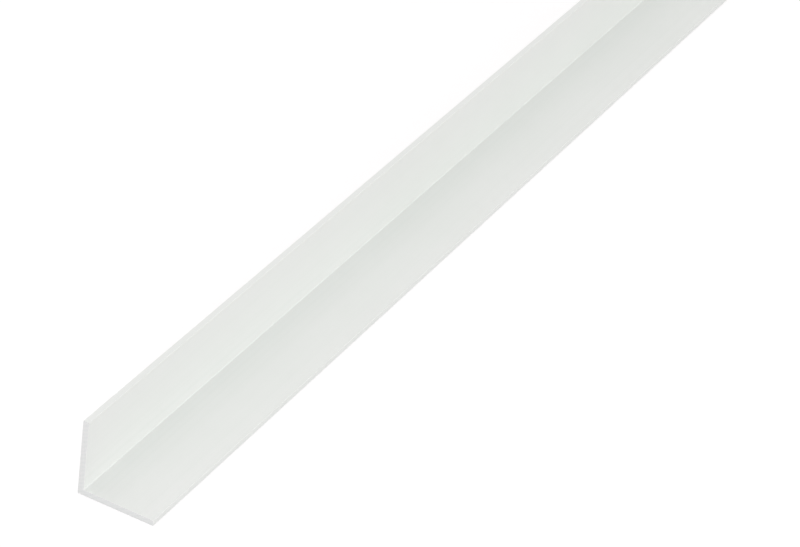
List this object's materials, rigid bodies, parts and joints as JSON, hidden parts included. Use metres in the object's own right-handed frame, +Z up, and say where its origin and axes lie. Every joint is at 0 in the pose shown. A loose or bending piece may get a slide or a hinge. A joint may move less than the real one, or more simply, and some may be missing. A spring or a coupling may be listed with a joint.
{
  "type": "pvc angle profile",
  "caption": "Equal-leg angle profile in white rigid PVC: a plain L section with crisp edges, sawn square to length, for covering and edging corners.",
  "frame": {"origin": "centre of the underside of the bar as it lies on one leg, midway along its length", "axes": "+X along the length, +Y from the flat leg's toe to the upright leg, +Z up along the upright leg"},
  "size_m": [1, 0.02, 0.02],
  "materials": {
    "white_pvc": "satin"
  },
  "bodies": {
    "root": {"angle_profile": "white_pvc"}
  },
  "joints": []
}
